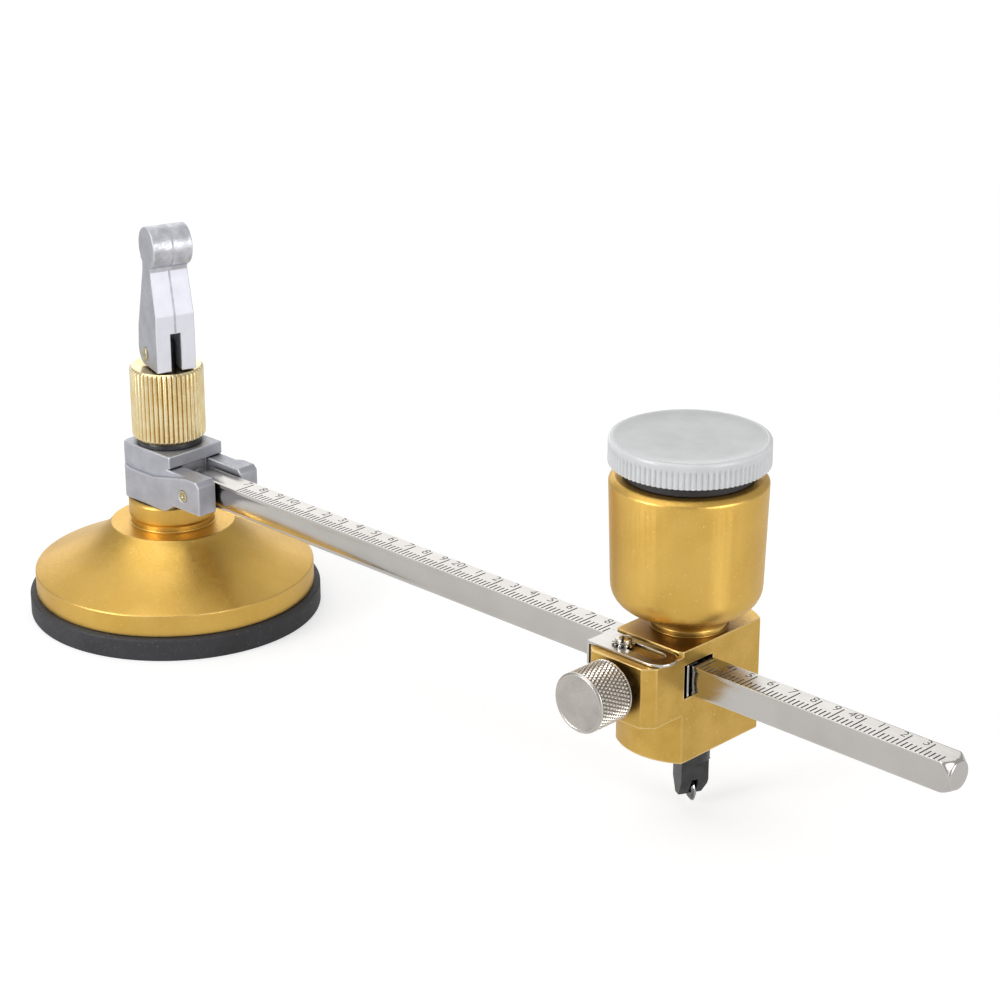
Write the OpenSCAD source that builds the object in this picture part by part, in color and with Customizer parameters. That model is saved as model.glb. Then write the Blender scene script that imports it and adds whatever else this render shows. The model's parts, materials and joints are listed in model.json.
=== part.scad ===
// Glass circle cutter: a suction base with a swivelling scale rod and a sliding, oil-fed cutting head.
// Millimetres. Origin at the centre of the suction face, +X along the rod to the head, +Z up.

/* [Suction base] */
// Radius of the rubber suction pad
pad_r = 32.4; // [30:0.1:40]
// Thickness of the rubber suction pad
pad_h = 5; // [4:0.1:8]
// Radius of the cover at its rim
cover_r = 31; // [26:0.1:40]
// Height of the straight rim of the cover
rim_h = 4.9; // [3:0.1:8]
// Rise of the flared dome above the rim
dome_rise = 10.4; // [7:0.1:16]
// Radius of the flat shoulder on top of the dome
shoulder_r = 13.7; // [12:0.1:18]
// Thickness of the cover wall
cover_wall = 2.2; // [1.5:0.1:3]
// Radius of the collar that carries the swivel block
collar_r = 9.6; // [8:0.1:11]
// Height of the collar above the shoulder
collar_h = 6; // [4:0.1:10]

/* [Pull stud and cam lever] */
// Radius of the hollow centre post
post_r = 5.2; // [4.6:0.1:6]
// Radius of the pull stud
stud_r = 3; // [2.6:0.1:3.4]
// Radius of the steel disc moulded into the pad
disc_r = 10; // [7:0.1:14]
// Thickness of the steel disc
disc_t = 2.4; // [1.5:0.1:3]
// Turn of the lever about the upright axis, in degrees
lever_yaw = -18; // [-90:1:90]
// Width of the lever along its pin
lever_w = 9; // [7.5:0.1:12]
// Thickness of the lever at its foot
lever_t = 11.1; // [9:0.1:14]
// Height of the lever from its foot to the centre of the finger roll
lever_h = 27.4; // [24:0.1:40]
// Radius of the finger roll
roll_r = 4.5; // [3.5:0.1:6]
// Radius of the lever pin
lever_pin_r = 1.25; // [1:0.05:1.6]
// Height of the lever pin above the foot
pin_rise = 2.7; // [2.2:0.1:3.5]
// Offset of the lever pin behind the upright axis
pin_back = 0.4; // [0:0.1:1.2]
// Distance from the pin to the lever's back
cam_back = 4.2; // [4:0.1:5]
// Thickness of the flat tang at the top of the stud
tang_t = 2; // [1.4:0.1:2.6]

/* [Knurled sleeve] */
// Outer radius of the sleeve
sleeve_r = 8.1; // [7:0.1:10]
// Height of the sleeve
sleeve_h = 16.5; // [10:0.1:24]
// Number of splines round the sleeve
sleeve_splines = 46; // [24:1:72]
// Thickness of the friction washer below the sleeve
washer_t = 1.1; // [0.5:0.1:2]

/* [Swivel block] */
// Width of the block across the rod
block_w = 16.8; // [14:0.1:22]
// Height of the block
block_h = 12.6; // [11.5:0.1:18]
// Reach of the fork arms from the upright axis
fork_reach = 19.5; // [18:0.1:26]
// Clear width between the fork arms
fork_gap = 7.2; // [7:0.1:8]
// Height of the fork arms
arm_h = 7.6; // [7.4:0.1:9]
// Distance of the fork pin from the upright axis
fork_pin_x = 14.1; // [13.5:0.1:16]
// Radius of the fork pin
fork_pin_r = 1.3; // [1:0.05:1.6]

/* [Scale rod] */
// Side of the square rod
rod_s = 5.9; // [5:0.1:6.2]
// Distance of the rod's free end from the upright axis
rod_end = 212.3; // [190:0.1:260]
// Length of the turned chamfer at the free end
rod_taper = 4.2; // [2:0.1:7]

/* [Cutting head] */
// Distance of the head from the upright axis
head_x = 145.6; // [90:0.1:180]
// Offset of the head axis behind the rod
head_y = 6; // [5.6:0.1:9]
// Radius of the rounded cutter body
body_r = 13.8; // [12.5:0.1:16]
// Length of the cutter body along the rod
body_l = 16.5; // [15:0.1:20]
// Depth of the cutter body below the rod axis
body_drop = 16.6; // [15:0.1:22]
// Height of the cutter body above the rod axis
body_rise = 6.4; // [5.5:0.1:7]
// Distance from the rod axis to the face of the screw boss
boss_out = 14.6; // [13.5:0.1:18]
// Height of the screw boss
boss_h = 12.1; // [10.5:0.1:14]

/* [Oil reservoir] */
// Radius of the reservoir at its rim
cup_r = 15; // [13.8:0.1:18]
// Narrowing of the reservoir from its rim to its foot
cup_draft = 0.6; // [0:0.1:1]
// Height of the reservoir
cup_h = 26.4; // [18:0.1:36]
// Radius of the mouth of the reservoir
mouth_r = 11.9; // [10:0.1:12.2]
// Height of the neck under the reservoir
neck_h = 3.6; // [2.4:0.1:6]
// Thickness of the black seal ring
seal_t = 2.4; // [1:0.1:4]
// Radius of the cap
cap_r = 15.2; // [14:0.1:18]
// Height of the cap
cap_h = 5; // [4:0.1:8]
// Number of ribs round the cap
cap_ribs = 110; // [60:1:140]

/* [Thumb screw and pointer] */
// Radius of the thumb screw's knob
knob_r = 5.9; // [4.5:0.1:7]
// Length of the knob
knob_l = 8.7; // [6:0.1:12]
// Radius of the thumb screw's thread
screw_r = 2; // [1.5:0.1:2.5]
// Thickness of the clamping leaf
leaf_t = 0.5; // [0.3:0.1:0.8]
// Thickness of the pointer plate
plate_t = 0.6; // [0.4:0.1:0.8]
// Width of the pointer plate
plate_w = 7; // [6:0.1:7.4]
// Radius of the pointer screw's thread
small_r = 1; // [0.8:0.1:1.1]

/* [Cutting wheel] */
// Radius of the cutting wheel
wheel_r = 2.4; // [2:0.1:2.8]
// Thickness of the cutting wheel
wheel_t = 1.1; // [0.8:0.1:1.4]
// Width of the wheel holder along its flat
holder_w = 5.7; // [5:0.1:7]
// Thickness of the wheel holder
holder_t = 4.3; // [3.6:0.1:5]
// Turn of the wheel holder about its upright stem, in degrees
holder_yaw = -26; // [-90:1:90]
// Radius of the wheel axle
axle_r = 0.5; // [0.4:0.05:0.6]

/* [Hidden] */
$fn = 96;

// Clearances
run_gap = 0.05;
fit_gap = 0.02;
soft_gap = 0.3;
over = 1;

// Upright stack of the base
rim_z = pad_h + rim_h;
shoulder_z = rim_z + dome_rise;
collar_z = shoulder_z + collar_h;
block_z = collar_z + block_h;
sleeve_z = block_z + washer_t;
sleeve_top = sleeve_z + sleeve_h;
foot_z = sleeve_top + soft_gap;
pin_z = foot_z + pin_rise;

// Rubber pad and the disc moulded into it
pad_edge = 0.7;
web_t = 2.2;
hub_wall = 2.6;
hub_r = disc_r + soft_gap + hub_wall;
disc_z = web_t;
disc_top = disc_z + disc_t;
hub_top = disc_top + soft_gap + hub_wall;
stud_tip_r = stud_r - 0.5;

// Cover and centre post
collar_groove = 0.4;
collar_step_h = 1.5;
roof_t = cover_wall;
roof_z = shoulder_z - roof_t;
post_flange_r = post_r + 2.8;
post_flange_t = 2;
sleeve_lid = 1.7;
sleeve_foot = 0.9;
sleeve_edge = 0.5;
post_top = sleeve_top - sleeve_lid - soft_gap;
stud_bore_r = stud_r + run_gap;

// Cam of the lever: its support grows evenly with the angle turned
cam_lift = cam_back - pin_rise;
cam_rate = cam_lift / 90;
cam_shift = cam_rate * 180 / PI;
cam_steps = 12;
tang_z = pin_z - cam_back - 1;
tang_top = pin_z + 3;
slot_w = tang_t + soft_gap;
slot_top = pin_z + 5.8;
waist_z = foot_z + 16.2;
neck_z = foot_z + 22;
neck_t = 4.7;
neck_w = lever_w - 0.4;
lever_lean = 1.85;
roll_fore = 1.05;
crease_z = foot_z + 12.6;
back_draw = 0.5;
back_waist = 2.6;

// Swivel block
block_back = 7.6;
block_front = post_r + 2.6;
block_corner = 3;
lid_t = 2.8;
lid_reach = block_front + 1;
arm_step = 2;
arm_z = collar_z + arm_step;
rod_drop = 0.5;
rod_z = arm_z + arm_h / 2 - rod_drop;
arm_in = fork_gap / 2;
arm_out = block_w / 2;
arm_corner = 1;
recess_d = 0.9;
recess_low = block_z - 5.4;
recess_back = block_z - 4.4;
recess_end = fork_reach - 4.5;
washer_r = sleeve_r - sleeve_foot;

// Scale rod
rod_half = rod_s / 2;
rod_start = block_front + 1.8;
rod_corner = rod_half * sqrt(2);
rod_tip_r = rod_half - 0.4;

// Cutting head
body_z = rod_z - body_drop;
body_top = rod_z + body_rise;
body_h = body_drop + body_rise;
body_half = body_l / 2;
boss_front = -boss_out;
boss_top = body_top - 1;
boss_z = boss_top - boss_h;
boss_chamfer = 2.1;
tunnel_back = rod_half + soft_gap;
tunnel_front = -(rod_half + 1.85);
tunnel_z = rod_z - rod_half - soft_gap;
tunnel_top = rod_z + rod_half + 0.5;
spigot_r = 4;
spigot_z = tunnel_top + 0.9;
neck_r = 7.4;
waist_r = 6.4;
hold_x = head_x + 0.8;
hold_y = head_y + 0.7;
stem_r = 2.4;
stem_l = 8.5;
stem_top = body_z + stem_l;

// Oil reservoir and cap
cup_z = body_top + neck_h;
cup_x = head_x - 0.5;
cup_y = head_y - 0.5;
cup_top = cup_z + cup_h;
cup_foot_r = cup_r - cup_draft;
cup_fillet = 5;
cup_floor = 3.6;
rim_round = 1;
tube_r = 1.5;
wick_r = 0.9;
tube_z = stem_top + soft_gap;
tube_top = cup_z + cup_floor + 1;
wick_top = tube_top + 1.5;
cap_z = cup_top + seal_t;
cap_top = cap_z + cap_h;
seal_r = mouth_r + 0.6;
plug_r = mouth_r - soft_gap;
plug_l = 6;
cap_round = 1.3;
cap_round_mid = 0.4;
rib_depth = 0.25;
spline_depth = 0.45;

// Thumb screw, clamping leaf and pointer
leaf_y = -(rod_half + 0.45);
screw_tip = leaf_y - leaf_t;
knob_back = boss_front - 1.6;
knob_face = knob_back - knob_l;
knob_neck = 0.8;
knob_bevel = 0.6;
leaf_h = tunnel_top - tunnel_z - soft_gap;
plate_y = -9.3;
plate_z = boss_top;
plate_wall = -(abs(plate_y) - plate_w / 2 - 0.2);
plate_over = 1;
pin_hole_x = head_x - 2.9;
slot_r = small_r + 0.1;
slot_l = 8;
tab_gap = 0.15;
tab_h = 4.2;
tab_w = 4;
small_head_r = 1.9;
small_head_h = 1.3;
small_washer_r = 2.2;
small_washer_t = 0.4;
small_z = rod_z + screw_r + 0.8;

// Wheel holder
holder_z = 1.6;
holder_collar_r = 3.6;
holder_collar_z = body_z - 5;
holder_bevel = 1.2;
holder_edge = 0.4;
holder_bevel_h = 2.9;
wheel_slot_t = wheel_t + 2 * run_gap + 0.1;
wheel_lift = 0.6;
wheel_z = wheel_r + wheel_lift;
wheel_slot_top = wheel_z + wheel_r + 0.4;
axle_l = holder_w - 2 * holder_bevel;
wheel_flat_t = 0.2;

function bezier(a, b, c, d, t) =
    pow(1 - t, 3) * a + 3 * pow(1 - t, 2) * t * b + 3 * (1 - t) * t * t * c + t * t * t * d;

// Flare of the cover from its rim to its shoulder, moved in by a wall
function flare(inset) = [
    for (i = [0 : 18])
        bezier([cover_r, rim_z], [cover_r - 5, rim_z + 0.24 * dome_rise],
               [shoulder_r + 3.1, rim_z + 0.56 * dome_rise], [shoulder_r, shoulder_z], i / 18)
        - [inset, inset]
];

// Rounded foot of the reservoir
function cup_fillet_points() = [
    for (i = [0 : 8])
        [cup_foot_r - cup_fillet + cup_fillet * sin(i * 90 / 8), cup_z + cup_fillet * (1 - cos(i * 90 / 8))]
];

// Cam edge about the pin: support pin_rise + cam_rate * angle, from straight down round to the back
function cam_points() = [
    for (i = [0 : cam_steps])
        let (angle = i * 90 / cam_steps, reach = pin_rise + cam_rate * angle)
        [-reach * sin(angle) - cam_shift * cos(angle), -reach * cos(angle) + cam_shift * sin(angle)]
];

// Circle with evenly spaced ribs
function ribbed_outline(r, depth, count) = [
    for (i = [0 : 2 * count - 1])
        let (radius = i % 2 == 0 ? r : r - depth, angle = i * 180 / count)
        [radius * cos(angle), radius * sin(angle)]
];

// Solid turned from the upright axis
module turned(points) {
    rotate_extrude() polygon(points);
}

// Outline in the XZ plane given a width along Y
module slab_y(width) {
    rotate([90, 0, 0]) linear_extrude(height = width, center = true) children();
}

// Cylinder along Y between two places
module rod_y(r, y0, y1) {
    translate([0, y0, 0]) rotate([-90, 0, 0]) cylinder(r = r, h = y1 - y0);
}

// Frame of the lever, with its pin on the origin
module at_lever_pin() {
    rotate([0, 0, lever_yaw]) translate([-pin_back, 0, pin_z]) children();
}

// Frame of the wheel holder, with its flat facing +X
module at_holder() {
    translate([hold_x, hold_y, 0]) rotate([0, 0, holder_yaw]) children();
}

module suction_pad() color("#26262a") turned([
    [0, 0], [pad_r - pad_edge, 0], [pad_r, pad_edge], [pad_r, pad_h - pad_edge],
    [pad_r - pad_edge, pad_h], [hub_r, pad_h], [hub_r, max(hub_top, pad_h + fit_gap)],
    [stud_r + soft_gap, max(hub_top, pad_h + fit_gap)], [stud_r + soft_gap, disc_top + soft_gap],
    [disc_r + soft_gap, disc_top + soft_gap], [disc_r + soft_gap, disc_z], [0, disc_z]
]);

module anchor_disc() color("#8a8d92") difference() {
    translate([0, 0, disc_z]) cylinder(r = disc_r, h = disc_t);
    translate([0, 0, disc_z - over]) cylinder(r = stud_tip_r + fit_gap, h = disc_t + 2 * over);
}

module base_cover() color("#c9a03c") turned(concat(
    [[cover_r - cover_wall, pad_h], [cover_r, pad_h]],
    flare(0),
    [[collar_r, shoulder_z], [collar_r - collar_groove, shoulder_z + fit_gap],
     [collar_r - collar_groove, shoulder_z + collar_step_h],
     [collar_r, shoulder_z + collar_step_h + collar_groove],
     [collar_r, collar_z - collar_groove], [collar_r - collar_groove, collar_z],
     [post_r + fit_gap, collar_z], [post_r + fit_gap, roof_z]],
    [for (i = [18 : -1 : 0]) flare(cover_wall)[i]]
));

module centre_post() color("#b9954a") turned([
    [stud_bore_r, roof_z - post_flange_t], [post_flange_r, roof_z - post_flange_t],
    [post_flange_r, roof_z], [post_r, roof_z], [post_r, post_top], [stud_bore_r, post_top]
]);

module friction_washer() color("#1d1d1f") difference() {
    translate([0, 0, block_z]) cylinder(r = washer_r, h = washer_t);
    translate([0, 0, block_z - over]) cylinder(r = post_r + run_gap, h = washer_t + 2 * over);
}

module pull_stud() color("#2b2c2f") difference() {
    union() {
        translate([0, 0, disc_z]) cylinder(r = stud_tip_r, h = disc_t + over);
        translate([0, 0, disc_top]) cylinder(r = stud_r, h = tang_z - disc_top);
        intersection() {
            translate([0, 0, disc_top]) cylinder(r = stud_r, h = tang_top - disc_top);
            rotate([0, 0, lever_yaw]) translate([-stud_r, -tang_t / 2, tang_z - over])
                cube([2 * stud_r, tang_t, tang_top - tang_z + over]);
        }
    }
    at_lever_pin() rod_y(lever_pin_r + fit_gap, -lever_w, lever_w);
}

module lever_pin() color("#c8a860") at_lever_pin() rod_y(lever_pin_r, -lever_w / 2, lever_w / 2);

// Side view of the lever below its finger roll, about the pin
module lever_profile() {
    front = lever_t - cam_back;
    lean = lever_lean + pin_back;
    polygon(concat(
        cam_points(),
        [[-cam_back + back_draw, slot_top - pin_z], [-cam_back + back_waist, waist_z - pin_z],
         [lean - neck_t / 2, neck_z - pin_z], [lean - neck_t / 2, foot_z + lever_h - pin_z],
         [lean + neck_t / 2, foot_z + lever_h - pin_z], [lean + neck_t / 2, neck_z - pin_z],
         [front, crease_z - pin_z], [front, -pin_rise]]
    ));
}

// Front view of the lever below its finger roll, about the pin
module lever_front() {
    low = -2 * pin_rise;
    high = foot_z + lever_h - pin_z;
    polygon([
        [-lever_w / 2, low], [lever_w / 2, low], [lever_w / 2, slot_top - pin_z],
        [neck_w / 2, neck_z - pin_z], [neck_w / 2, high], [-neck_w / 2, high],
        [-neck_w / 2, neck_z - pin_z], [-lever_w / 2, slot_top - pin_z]
    ]);
}

module cam_lever() color("#b4b6bd") at_lever_pin() difference() {
    union() {
        intersection() {
            slab_y(lever_w) lever_profile();
            rotate([90, 0, 90]) linear_extrude(height = 4 * lever_t, center = true) lever_front();
        }
        translate([lever_lean + pin_back + roll_fore, 0, foot_z + lever_h - pin_z])
            rod_y(roll_r, -lever_w / 2, lever_w / 2);
    }
    translate([-2 * lever_t, -slot_w / 2, -lever_t]) cube([4 * lever_t, slot_w, lever_t + slot_top - pin_z]);
    rod_y(lever_pin_r + run_gap, -lever_w, lever_w);
}

module knurled_sleeve() color("#cdb169") difference() {
    intersection() {
        translate([0, 0, sleeve_z]) linear_extrude(height = sleeve_h)
            polygon(ribbed_outline(sleeve_r, spline_depth, sleeve_splines));
        turned([[0, sleeve_z], [sleeve_r - sleeve_foot, sleeve_z],
                [sleeve_r + fit_gap, sleeve_z + sleeve_foot], [sleeve_r + fit_gap, sleeve_top - sleeve_edge],
                [sleeve_r - sleeve_edge, sleeve_top], [0, sleeve_top]]);
    }
    translate([0, 0, sleeve_z - over]) cylinder(r = post_r + run_gap, h = sleeve_h - sleeve_lid + over);
    translate([0, 0, sleeve_z]) cylinder(r = stud_r + soft_gap, h = sleeve_h + over);
}

// Body of the swivel block with rounded back corners
module block_core(z0, z1, front) {
    inner = arm_out - block_corner;
    translate([-block_back + block_corner, -arm_out, z0])
        cube([block_back - block_corner + front, block_w, z1 - z0]);
    translate([-block_back, -inner, z0]) cube([block_corner + over, 2 * inner, z1 - z0]);
    for (side = [-1, 1])
        translate([-block_back + block_corner, side * inner, z0]) cylinder(r = block_corner, h = z1 - z0);
}

// Side view of one fork arm
module arm_profile() {
    polygon([
        [block_front - over, collar_z], [block_front, collar_z], [block_front + 1.5 * arm_step, arm_z],
        [fork_reach, arm_z], [fork_reach, arm_z + arm_h - arm_corner],
        [fork_reach - arm_corner, arm_z + arm_h], [block_front - over, arm_z + arm_h]
    ]);
}

// Side view of the shallow recess above the block's shoulder
module recess_profile() {
    polygon([
        [-block_back - over, recess_back], [-block_back / 2, recess_low], [block_front / 2, recess_low],
        [recess_end, arm_z + arm_h], [recess_end, block_z + over], [-block_back - over, block_z + over]
    ]);
}

module swivel_block() color("#9a9ca2") difference() {
    union() {
        block_core(collar_z, block_z, block_front);
        block_core(block_z - lid_t, block_z, lid_reach);
        for (side = [-1, 1])
            translate([0, side * (arm_in + arm_out) / 2, 0]) slab_y(arm_out - arm_in) arm_profile();
    }
    translate([0, 0, collar_z - over]) cylinder(r = post_r + run_gap, h = block_h + 2 * over);
    translate([fork_pin_x, 0, rod_z]) rod_y(fork_pin_r + fit_gap, -block_w, block_w);
    for (side = [-1, 1])
        translate([0, side * arm_out, 0]) slab_y(2 * recess_d) recess_profile();
}

module fork_pin() color("#c0a050")
    translate([fork_pin_x, 0, rod_z]) rod_y(fork_pin_r, -arm_out, arm_out);

module scale_rod() color("#c9c9c8") difference() {
    intersection() {
        translate([rod_start, -rod_half, rod_z - rod_half]) cube([rod_end - rod_start, rod_s, rod_s]);
        translate([0, 0, rod_z]) rotate([0, 90, 0]) turned([
            [0, rod_start - over], [rod_corner + over, rod_start - over],
            [rod_corner + over, rod_end - rod_taper], [rod_corner, rod_end - rod_taper],
            [rod_tip_r, rod_end], [0, rod_end]
        ]);
    }
    translate([fork_pin_x, 0, rod_z]) rod_y(fork_pin_r + run_gap, -rod_s, rod_s);
}

module boss_outline() polygon([
    [-body_half, 0], [-body_half, boss_front + boss_chamfer], [boss_chamfer - body_half, boss_front],
    [body_half - boss_chamfer, boss_front], [body_half, boss_front + boss_chamfer], [body_half, 0]
]);

module cutter_body() color("#c8a03e") difference() {
    union() {
        intersection() {
            translate([head_x, head_y, body_z]) cylinder(r = body_r, h = body_h);
            translate([head_x - body_half, head_y - 2 * body_r, body_z]) cube([body_l, 4 * body_r, body_h]);
        }
        translate([head_x, 0, boss_z]) linear_extrude(height = boss_h) boss_outline();
        translate([head_x, head_y, 0]) turned([
            [0, body_top - over], [neck_r, body_top - over], [neck_r, body_top + 0.3 * neck_h],
            [waist_r, body_top + 0.65 * neck_h], [waist_r, cup_z], [0, cup_z]
        ]);
    }
    translate([head_x - body_l, tunnel_front, tunnel_z])
        cube([2 * body_l, tunnel_back - tunnel_front, tunnel_top - tunnel_z]);
    translate([head_x - body_l, plate_wall - 2 * boss_out, boss_top]) cube([2 * body_l, 2 * boss_out, 2 * over]);
    translate([cup_x, cup_y, spigot_z]) cylinder(r = spigot_r + fit_gap, h = cup_z - spigot_z + over);
    translate([hold_x, hold_y, body_z - over]) cylinder(r = stem_r + run_gap, h = stem_l + soft_gap + over);
    translate([hold_x, hold_y, body_z]) cylinder(r = tube_r + fit_gap, h = body_h + neck_h);
    translate([head_x, 0, rod_z]) rod_y(screw_r + run_gap, -2 * boss_out, -rod_half);
    translate([pin_hole_x, plate_y, small_z]) cylinder(r = small_r + run_gap, h = boss_h);
}

module oil_reservoir() color("#c9a140") difference() {
    union() {
        translate([cup_x, cup_y, 0]) turned(concat(
            [[0, cup_z]], cup_fillet_points(),
            [[cup_r, cup_top - rim_round], [cup_r - rim_round, cup_top], [mouth_r, cup_top],
             [mouth_r, cup_z + cup_floor], [0, cup_z + cup_floor]]
        ));
        translate([cup_x, cup_y, spigot_z]) cylinder(r = spigot_r, h = cup_z - spigot_z + over);
    }
    translate([hold_x, hold_y, spigot_z - over]) cylinder(r = tube_r + fit_gap, h = tube_top);
}

module oil_tube() color("#b8964e") translate([hold_x, hold_y, tube_z]) difference() {
    cylinder(r = tube_r, h = tube_top - tube_z);
    translate([0, 0, -over]) cylinder(r = wick_r + run_gap, h = tube_top - tube_z + 2 * over);
}

module oil_wick() color("#e6e0cf")
    translate([hold_x, hold_y, tube_z]) cylinder(r = wick_r, h = wick_top - tube_z);

module cap_seal() color("#1b1b1d") translate([cup_x, cup_y, cup_top]) difference() {
    cylinder(r = seal_r, h = seal_t);
    translate([0, 0, -over]) cylinder(r = plug_r + run_gap, h = seal_t + 2 * over);
}

module reservoir_cap() color("#dcdedd") translate([cup_x, cup_y, 0]) union() {
    intersection() {
        translate([0, 0, cap_z]) linear_extrude(height = cap_h)
            polygon(ribbed_outline(cap_r, rib_depth, cap_ribs));
        turned([[0, cap_z], [cap_r + fit_gap, cap_z], [cap_r + fit_gap, cap_top - cap_round],
                [cap_r - cap_round_mid, cap_top - cap_round_mid], [cap_r - cap_round, cap_top],
                [0, cap_top]]);
    }
    translate([0, 0, cup_top - plug_l]) cylinder(r = plug_r, h = plug_l + seal_t + fit_gap);
}

module thumb_screw() color("#c4c3c0") translate([head_x, 0, rod_z]) rotate([90, 0, 0]) turned([
    [0, -screw_tip], [screw_r, -screw_tip], [screw_r, -boss_front + knob_neck],
    [screw_r + 1, -boss_front + knob_neck], [screw_r + 1, -knob_back], [knob_r - knob_bevel, -knob_back],
    [knob_r, -knob_back + knob_bevel], [knob_r, -knob_face - knob_bevel], [knob_r - knob_bevel, -knob_face],
    [0, -knob_face]
]);

module clamp_leaf() color("#d3d3d2") translate([head_x - body_half + 1, screw_tip, tunnel_z + soft_gap / 2])
    cube([body_l - over, leaf_t, leaf_h]);

module pointer_plate() color("#d8d7d3") translate([0, plate_y, plate_z]) difference() {
    left = head_x - body_half - tab_gap - plate_t;
    right = head_x + body_half + plate_over;
    round_r = plate_w / 2;
    union() {
        translate([left, -round_r, 0]) cube([right - round_r - left, plate_w, plate_t]);
        translate([right - round_r, 0, 0]) cylinder(r = round_r, h = plate_t);
        translate([left, -round_r, -tab_h]) cube([plate_t, tab_w, tab_h + plate_t]);
    }
    translate([pin_hole_x, 0, -over]) cylinder(r = slot_r, h = plate_t + 2 * over);
    translate([pin_hole_x, -slot_r, -over]) cube([slot_l, 2 * slot_r, plate_t + 2 * over]);
    translate([pin_hole_x + slot_l, 0, -over]) cylinder(r = slot_r, h = plate_t + 2 * over);
}

module pointer_washer() color("#b9b8b4") translate([pin_hole_x, plate_y, plate_z + plate_t]) difference() {
    cylinder(r = small_washer_r, h = small_washer_t);
    translate([0, 0, -over]) cylinder(r = small_r + run_gap, h = small_washer_t + 2 * over);
}

module pointer_screw() color("#aeada8") translate([pin_hole_x, plate_y, 0]) union() {
    head_z = plate_z + plate_t + small_washer_t;
    translate([0, 0, small_z + soft_gap]) cylinder(r = small_r, h = head_z - small_z - soft_gap + fit_gap);
    translate([0, 0, head_z]) cylinder(r = small_head_r, h = small_head_h);
}

// Wide view of the wheel holder below its collar
module holder_profile() polygon([
    [-holder_w / 2, holder_collar_z + over], [-holder_w / 2, holder_z + 2 * holder_edge],
    [-holder_w / 2 + holder_edge, holder_z], [holder_w / 2 - holder_bevel, holder_z],
    [holder_w / 2, holder_z + holder_bevel_h], [holder_w / 2, holder_collar_z + over]
]);

module cutter_holder() color("#2c2c30") at_holder() difference() {
    union() {
        rotate([0, 0, 90]) slab_y(holder_t) holder_profile();
        translate([0, 0, holder_collar_z]) cylinder(r = holder_collar_r, h = body_z - holder_collar_z);
        translate([0, 0, holder_collar_z]) cylinder(r = stem_r, h = stem_top - holder_collar_z);
    }
    translate([-holder_t, -wheel_slot_t / 2, 0]) cube([2 * holder_t, wheel_slot_t, wheel_slot_top]);
    translate([0, 0, wheel_z]) rod_y(axle_r + fit_gap, -axle_l / 2, axle_l / 2);
}

module wheel_axle() color("#9fa1a5") at_holder()
    translate([0, 0, wheel_z]) rod_y(axle_r, -axle_l / 2, axle_l / 2);

module cutter_wheel() color("#85878c") at_holder() translate([0, 0, wheel_z]) rotate([90, 0, 0]) turned([
    [axle_r + run_gap, -wheel_t / 2], [wheel_r - wheel_t / 2, -wheel_t / 2], [wheel_r, -wheel_flat_t / 2],
    [wheel_r, wheel_flat_t / 2], [wheel_r - wheel_t / 2, wheel_t / 2], [axle_r + run_gap, wheel_t / 2]
]);

suction_pad();
anchor_disc();
base_cover();
centre_post();
friction_washer();
pull_stud();
lever_pin();
cam_lever();
knurled_sleeve();
swivel_block();
fork_pin();
scale_rod();
cutter_body();
oil_reservoir();
oil_tube();
oil_wick();
cap_seal();
reservoir_cap();
thumb_screw();
clamp_leaf();
pointer_plate();
pointer_washer();
pointer_screw();
cutter_holder();
wheel_axle();
cutter_wheel();
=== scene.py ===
import json
import math

import bmesh
import bpy
from mathutils import Matrix, Vector


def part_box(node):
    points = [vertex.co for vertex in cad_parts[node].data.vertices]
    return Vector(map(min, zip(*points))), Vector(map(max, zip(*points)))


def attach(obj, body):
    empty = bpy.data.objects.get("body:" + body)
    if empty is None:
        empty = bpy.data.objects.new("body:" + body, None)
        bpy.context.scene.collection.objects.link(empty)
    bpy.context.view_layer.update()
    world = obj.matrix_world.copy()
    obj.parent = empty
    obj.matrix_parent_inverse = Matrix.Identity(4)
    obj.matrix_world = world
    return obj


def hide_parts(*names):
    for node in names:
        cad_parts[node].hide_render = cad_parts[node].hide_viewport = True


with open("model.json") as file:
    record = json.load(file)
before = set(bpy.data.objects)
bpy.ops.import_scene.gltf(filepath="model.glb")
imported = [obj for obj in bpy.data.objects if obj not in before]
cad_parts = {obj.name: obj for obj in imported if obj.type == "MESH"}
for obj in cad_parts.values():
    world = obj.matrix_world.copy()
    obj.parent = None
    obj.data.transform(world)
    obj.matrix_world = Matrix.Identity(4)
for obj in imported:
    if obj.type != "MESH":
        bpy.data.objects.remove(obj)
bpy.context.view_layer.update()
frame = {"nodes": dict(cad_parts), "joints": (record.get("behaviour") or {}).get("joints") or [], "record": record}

# Lengths are written in millimetres and turned into metres by this factor
MM = 0.001

# Camera, at the photograph's viewing angle
CAMERA_AZIMUTH = 44.19
CAMERA_ELEVATION = 21.43
CAMERA_DISTANCE = 549.13
CAMERA_TARGET = Vector((101.58, 0.09, 52.37))
CAMERA_LENS = 101.14
SENSOR_WIDTH = 36
CLIP_NEAR = 10
CLIP_FAR = 20000

# Studio light: azimuth, elevation, distance and size of each soft box, and its watts
SOFT_BOXES = {
    "key_right": (90, 16, 800, 460, 2.8),
    "strip_left": (345, 14, 750, 300, 2.7),
    "top_panel": (335, 66, 900, 900, 3.2),
    "back_panel": (235, 27, 1000, 920, 2.65),
}

# Strength of the white world as metal and glass show it, and as a light
WORLD_MIRRORED = 0.5
AMBIENT = 0.36

# Floor: its colour, its own white near the object, far from it and in metal, and its place
FLOOR_ALBEDO = 0.5
FLOOR_LIFT_NEAR = 0.6
FLOOR_LIFT_FAR = 0.86
FLOOR_LIFT_MIRRORED = 0.38
FLOOR_NEAR = 350
FLOOR_FAR = 1500
FLOOR_SIZE = 6000
FLOOR_DROP = 0.05
WHITE = (1, 1, 1, 1)

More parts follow.
